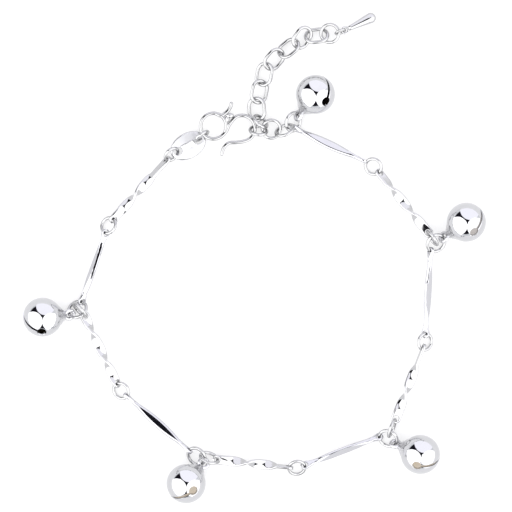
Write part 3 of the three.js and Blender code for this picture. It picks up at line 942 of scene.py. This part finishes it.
# Places in millimetres, loops from one angle to another in degrees.
CLASP_LEFT = {"x": -6.96, "y": 27.04, "radius": 2.06, "start": 55, "end": 300}
CLASP_RIGHT = {"x": -2.4, "y": 26.67, "radius": 2.08, "start": 115, "end": -80}
CLASP_PRONG = [(-4.03, 30.96), (-4.27, 30.08), (-4.88, 29.25)]
CLASP_MIDDLE = [(-4.96, 26.16), (-4.43, 27.28)]
CLASP_TAIL = [(-3.2, 24.43), (-4.48, 24.32), (-5.23, 23.68), (-5.76, 22.24)]
CLASP_CLOSING = {**CLASP_LEFT, "start": 75, "end": -35}
CLASP_SOLDER = [
    {"x": -4.38, "y": 28.72, "long": 0.66, "broad": 0.45, "high": 0.36},
    {"x": -4.74, "y": 28.2, "long": 0.34, "broad": 0.6, "high": 0.34},
]


def loop_marks(loop, count):
    """Marks along a round loop, from its start to its end."""
    marks = []
    for k in range(count + 1):
        angle = math.radians(loop["start"] + (loop["end"] - loop["start"]) * k / count)
        marks.append((loop["x"] + loop["radius"] * math.cos(angle),
                      loop["y"] + loop["radius"] * math.sin(angle)))
    return marks


print("a loop's marks:", len(loop_marks(CLASP_LEFT, 8)))

# %% Wire along a bend
TIP_PARTS = (0.12, 0.45)  # extra sections between a wire's last two, which round its tip


def smooth_bend(marks, steps):
    """A centripetal Catmull-Rom bend through the marks."""
    row = [marks[0] * 2 - marks[1], *marks, marks[-1] * 2 - marks[-2]]
    bend = []
    for four in zip(row, row[1:], row[2:], row[3:]):
        knots = [0.0]
        for a, b in zip(four, four[1:]):
            knots.append(knots[-1] + math.sqrt((b - a).length))
        for k in range(steps):
            t = knots[1] + (knots[2] - knots[1]) * k / steps
            spots = four
            for spans in (((0, 1), (1, 2), (2, 3)), ((0, 2), (1, 3)), ((1, 2),)):
                spots = [a.lerp(b, (t - knots[i]) / (knots[j] - knots[i]))
                         for a, b, (i, j) in zip(spots, spots[1:], spans)]
            bend.append(spots[0])
    return bend + [marks[-1]]


def wire_bmesh(bend, wire):
    """A round wire along a level bend, whose last sections narrow to rounded tips."""
    radius = wire / 2
    rows = []
    bend = [bend[0], *(bend[0].lerp(bend[1], part) for part in TIP_PARTS), *bend[1:-1],
            *(bend[-1].lerp(bend[-2], part) for part in reversed(TIP_PARTS)), bend[-1]]
    lengths = [0.0]
    for a, b in zip(bend, bend[1:]):
        lengths.append(lengths[-1] + (b - a).length)
    turns = [2 * math.pi * k / WIRE_SIDES for k in range(WIRE_SIDES)]
    for spot in lengths:
        inner = max(radius - min(spot, lengths[-1] - spot), 0)
        size = max(math.sqrt(radius ** 2 - inner ** 2), 0.1 * radius)
        rows.append((spot, 0, [(size * math.cos(turn), size * math.sin(turn))
                               for turn in turns]))
    bm = swept(rows)
    for vert in bm.verts:
        k = min(range(len(lengths)), key=lambda j: abs(lengths[j] - vert.co.x))
        before, after = bend[max(k - 1, 0)], bend[min(k + 1, len(bend) - 1)]
        ahead = (after - before).normalized()
        side = Vector((-ahead.y, ahead.x, 0))
        vert.co = bend[k] + side * vert.co.y + UP * vert.co.z
    return bm


print("sections round each tip:", len(TIP_PARTS) + 1)

# %% Clasp
marks = [*CLASP_PRONG, *loop_marks(CLASP_LEFT, 8), *CLASP_MIDDLE,
         *loop_marks(CLASP_RIGHT, 7), *CLASP_TAIL]
bend = smooth_bend([Vector((x * MM, y * MM, 0)) for x, y in marks], CLASP_STEPS)
clasp = wire_bmesh(bend, CLASP_WIRE)
arc = [Vector((x * MM, y * MM, 0)) for x, y in loop_marks(CLASP_CLOSING, 24)]
join(clasp, wire_bmesh(arc, CLASP_WIRE))
for row in CLASP_SOLDER:
    blob = bmesh.ops.create_uvsphere(clasp, u_segments=24, v_segments=16, radius=MM)["verts"]
    bmesh.ops.scale(clasp, vec=(row["long"], row["broad"], row["high"]), verts=blob)
    bmesh.ops.translate(clasp, vec=(row["x"] * MM, row["y"] * MM, 0), verts=blob)
bmesh.ops.rotate(clasp, cent=(0, 0, 0), matrix=Matrix.Rotation(CLASP_SLOPE, 3, "Y"),
                 verts=clasp.verts)
low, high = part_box("m_clasp")
points = np.array([vert.co for vert in clasp.verts])
centre = Vector((points.min(0) + points.max(0)) / 2)
add_piece("m_clasp_look", clasp, Matrix.Translation((low + high) / 2 - centre),
          [POLISHED_WIRE])
print("clasp bend:", len(bend), "sections; moved by mm:",
      [round(value / MM, 2) for value in (low + high) / 2 - centre])

# %% [markdown]
# ## The oval tag
# The tag is stamped from thin sheet with two holes, and a plain raised bar between them is
# left bare. It is a disc drawn out to an oval, with its rim rounded and its holes drilled. The
# plate is satin, because a stamping die leaves a finer, duller face than the polishing mop.

# %% Sizes of the tag
TAG_THICK = 0.5 * MM
TAG_HOLE = 0.65 * MM  # radius
TAG_HOLE_REACH = 1.84 * MM  # from the tag's middle to a hole's
TAG_PROFILE = [  # millimetres in from the rim, or None for the tag's middle, and height
    (None, -0.25), (0.3, -0.25), (0.1, -0.17), (0, 0), (0.1, 0.14), (0.115, 0.152),
    (0.24, 0.245), (0.265, 0.25), (None, 0.25),
]
TAG_STEPS = 120
TAG_BAR = (2.3 * MM, 1.1 * MM)
TAG_BAR_RISE = 0.15 * MM
TAG_BAR_LEAN = 0.13 * MM  # how much lower the struck bar is along one side
TAG_BAR_ROUND = 0.15 * MM
TAG_BAR_FRAME = 0.03 * MM  # faces that keep the bar's top flat
TAG_FLAT = 0.98  # faces that point up more than this are the satin plate
print("the tag's rim has", len(TAG_PROFILE) - 2, "rows of points")

# %% Tag
points = node_points("tag")
long_way = directions(points)[0]
long_way = long_way * math.copysign(1, long_way.x)
low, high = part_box("tag")
middle = Vector(points.mean(0))
middle.z = low.z + TAG_THICK / 2
place = placed(middle, long_way, UP.cross(long_way))
flat = local_points(points, place)
half_long, half_broad, _ = flat.max(0)
profile = [(half_long - inset * MM if inset is not None else 0, 0, height * MM)
           for inset, height in TAG_PROFILE]
tag = spun(profile, axis=(0, 0, 1), steps=TAG_STEPS)
bmesh.ops.scale(tag, vec=(1, half_broad / half_long, 1), verts=tag.verts)
tag.normal_update()
for face in tag.faces:
    face.material_index = 0 if abs(face.normal.z) > TAG_FLAT else 1
drills = end_drills(TAG_HOLE, TAG_THICK, place, TAG_HOLE_REACH, (0, 0))
drilled("tag_look", tag, place, [SATIN_PLATE, PRESSED_SHEET], drills)
print("tag plate in mm:", round(half_long * 2 / MM, 2), "by", round(half_broad * 2 / MM, 2))

# %% Raised bar of the tag
BAR_LIFT = TAG_THICK / 2 + TAG_BAR_RISE
raised = bmesh.new()
bmesh.ops.create_cube(raised, size=1)
bmesh.ops.scale(raised, vec=(*TAG_BAR, BAR_LIFT), verts=raised.verts)
bmesh.ops.translate(raised, vec=(0, 0, BAR_LIFT / 2), verts=raised.verts)
for vert in raised.verts:
    if vert.co.z > 0 and vert.co.y < 0:
        vert.co.z -= TAG_BAR_LEAN
bmesh.ops.bevel(raised, geom=raised.edges[:], offset=TAG_BAR_ROUND, offset_type="OFFSET",
                segments=4, profile=0.5, affect="EDGES", material=-1)
broad = [face for face in raised.faces if face.calc_area() > TAG_BAR[1] ** 2]
bmesh.ops.inset_individual(raised, faces=broad, thickness=TAG_BAR_FRAME, use_even_offset=True)
add_piece("tag_bar_look", raised, place, [PRESSED_SHEET], node="tag")
print("raised bar in mm:", [round(v / MM, 2) for v in (*TAG_BAR, BAR_LIFT)])

# %% [markdown]
# ## The drop
# The drop at the extension's end is a solid casting: a thin tip that swells to a round end,
# with a small eye. It is one spun profile. Its sides are nearly straight, so its shine runs
# along it as a single line.

# %% Drop
DROP_LENGTH = 4.9 * MM
DROP_RADIUS = 0.85 * MM
DROP_TIP_RADIUS = 0.38 * MM
DROP_EYE_RADIUS = 0.5 * MM
DROP_EYE_WIRE = 0.32 * MM
SWELL_STEPS = 8
ROUND_STEPS = 12


def drop_bmesh():
    """The drop along Y, with its eye's middle at the origin."""
    tip = DROP_EYE_RADIUS + 0.08 * MM
    neck = DROP_EYE_RADIUS + DROP_LENGTH - DROP_RADIUS
    profile = [(0, tip, 0), (DROP_TIP_RADIUS * 0.8, tip, 0),
               (DROP_TIP_RADIUS, tip + 0.1 * MM, 0)]
    for k in range(1, SWELL_STEPS + 1):
        part = k / SWELL_STEPS
        swell = DROP_TIP_RADIUS + (DROP_RADIUS - DROP_TIP_RADIUS) * part ** 1.15
        profile.append((swell, tip + (neck - tip) * part, 0))
    for k in range(1, ROUND_STEPS + 1):
        angle = math.radians(90) * k / ROUND_STEPS
        profile.append((DROP_RADIUS * math.cos(angle), neck + DROP_RADIUS * math.sin(angle), 0))
    return spun(profile, axis=(0, 1, 0))


def drop_place():
    """The eye's middle and the way the drop points, from its solid."""
    points = node_points("drop")
    middle, along = Vector(points.mean(0)), directions(points)[0]
    eye_side = Vector(node_points("drop_ring").mean(0)) - middle
    along = along * -math.copysign(1, along.dot(eye_side))
    spots = [(Vector(point) - middle).dot(along) for point in points]
    eye = middle + along * (min(spots) + DROP_EYE_RADIUS + DROP_EYE_WIRE / 2)
    axis = (middle - eye).normalized()
    return placed(eye, axis.cross(UP), axis)


place, drop = drop_place(), drop_bmesh()
join(drop, ring_bmesh(DROP_EYE_RADIUS, DROP_EYE_WIRE))
add_piece("drop_look", drop, place, [PRESSED_SHEET])
print("drop points down by degrees:", round(math.degrees(math.asin(place.col[1].z)), 1))

# %% [markdown]
# ## Floor and light
# Silver shows only what surrounds it. A plain white room gives a flat grey shape, so a
# jeweller hangs three round diffusers close round the lens and leaves black gaps between
# them. The world draws them: each ray's direction is turned to the place on a ball that
# would mirror it upwards, and the discs are painted on that map. The floor is plain white.

# %% Floor
FLOOR_SIZE = 4
FLOOR_GLOW = 0.6
FLOOR_GAP = 0.01 * MM
PAPER_COLOUR = (0.3, 0.3, 0.305)


def add_floor():
    bm = bmesh.new()
    bmesh.ops.create_grid(bm, x_segments=8, y_segments=8, size=FLOOR_SIZE / 2)
    floor = new_object("floor", bm, Matrix())
    paper = bpy.data.materials.new("white_paper")
    paper.use_nodes = True
    sockets = paper.node_tree.nodes["Principled BSDF"].inputs
    sockets["Base Color"].default_value = (*PAPER_COLOUR, 1)
    sockets["Roughness"].default_value = 0.9
    sockets["Emission Color"].default_value = (1, 1, 1, 1)
    sockets["Emission Strength"].default_value = FLOOR_GLOW
    floor.data.materials.append(paper)
    floor.location.z = cad_low.z - FLOOR_GAP


add_floor()
print("floor:", FLOOR_SIZE, "m square")

# %% Diffusers in the world
DISCS = [
    {"x": 0.17, "y": 0.6, "radius": 0.49, "colour": (1.62, 1.61, 1.72)},
    {"x": -0.46, "y": -0.2, "radius": 0.48, "colour": (2.6, 2.6, 2.6)},
    {"x": 0.48, "y": -0.24, "radius": 0.465, "colour": (2.5, 2.5, 2.5)},
]
GAP_COLOUR = (0.012, 0.012, 0.018)
ROOM_COLOUR = (1.08, 1.1, 1.14)
GAPS = {"x": -0.05, "y": 0.0, "radius": 0.62}  # the part of the map that has dark gaps
GAPS_EDGE = 0.02
DISC_EDGE = 0.008  # half the width over which a disc fades out


def math_node(tree, operation, *values):
    node = tree.nodes.new("ShaderNodeMath")
    node.operation = operation
    for socket, value in zip(node.inputs, values):
        if isinstance(value, (int, float)):
            socket.default_value = value
        else:
            tree.links.new(value, socket)
    return node.outputs["Value"]


def disc_mask(tree, x, y, disc, edge):
    """1 inside a disc of the map and 0 outside, with a soft edge."""
    squares = []
    for value, middle in ((x, disc["x"]), (y, disc["y"])):
        off = math_node(tree, "SUBTRACT", value, middle)
        squares.append(math_node(tree, "MULTIPLY", off, off))
    away = math_node(tree, "SQRT", math_node(tree, "ADD", *squares))
    return ranged(tree, away, 1, 0, disc["radius"] - edge, disc["radius"] + edge)


print("the map's middle is straight up, and its rim straight down")

# %% World


def build_world():
    """Finds where a ray's direction lies on the map, and paints the map there."""
    world = bpy.data.worlds.new("diffusers")
    world.use_nodes = True
    tree = world.node_tree
    coords = tree.nodes.new("ShaderNodeTexCoord")
    split = tree.nodes.new("ShaderNodeSeparateXYZ")
    tree.links.new(coords.outputs["Generated"], split.inputs["Vector"])
    lifted = math_node(tree, "MAXIMUM", math_node(tree, "ADD", split.outputs["Z"], 1), 0.001)
    spread = math_node(tree, "SQRT", math_node(tree, "MULTIPLY", lifted, 2))
    x = math_node(tree, "DIVIDE", split.outputs["X"], spread)
    y = math_node(tree, "DIVIDE", split.outputs["Y"], spread)
    colour = mixed(tree, disc_mask(tree, x, y, GAPS, GAPS_EDGE), ROOM_COLOUR, GAP_COLOUR)
    for disc in DISCS:
        colour = mixed(tree, disc_mask(tree, x, y, disc, DISC_EDGE), colour, disc["colour"])
    tree.links.new(colour, tree.nodes["Background"].inputs["Color"])
    bpy.context.scene.world = world


build_world()
print("diffusers:", len(DISCS))

# %% [markdown]
# ## Camera and colours
# The bracelet is seen from straight above. A long lens high up keeps all its parts at one
# scale, as a flat lay needs. The Standard view keeps white as white, where Filmic or AgX
# would turn the paper grey.

# %% Camera
VIEW_WIDTH = 81.92 * MM
VIEW_MIDDLE = Vector((0.25 * MM, 0.25 * MM, 1.5 * MM))
CAMERA_HEIGHT = 0.6  # above the middle of the view
SENSOR_WIDTH = 36  # Blender's own unit for a camera's sensor and lens, a millimetre

camera_data = bpy.data.cameras.new("camera")
camera_data.sensor_width = SENSOR_WIDTH
camera_data.lens = SENSOR_WIDTH * CAMERA_HEIGHT / VIEW_WIDTH
camera_data.clip_start = 0.01
camera_data.clip_end = 10
camera = bpy.data.objects.new("camera", camera_data)
camera.location = VIEW_MIDDLE + UP * CAMERA_HEIGHT
bpy.context.collection.objects.link(camera)
scene = bpy.context.scene
scene.camera = camera
scene.view_settings.view_transform = "Standard"
scene.view_settings.look = "None"
print("lens:", round(camera_data.lens, 1))
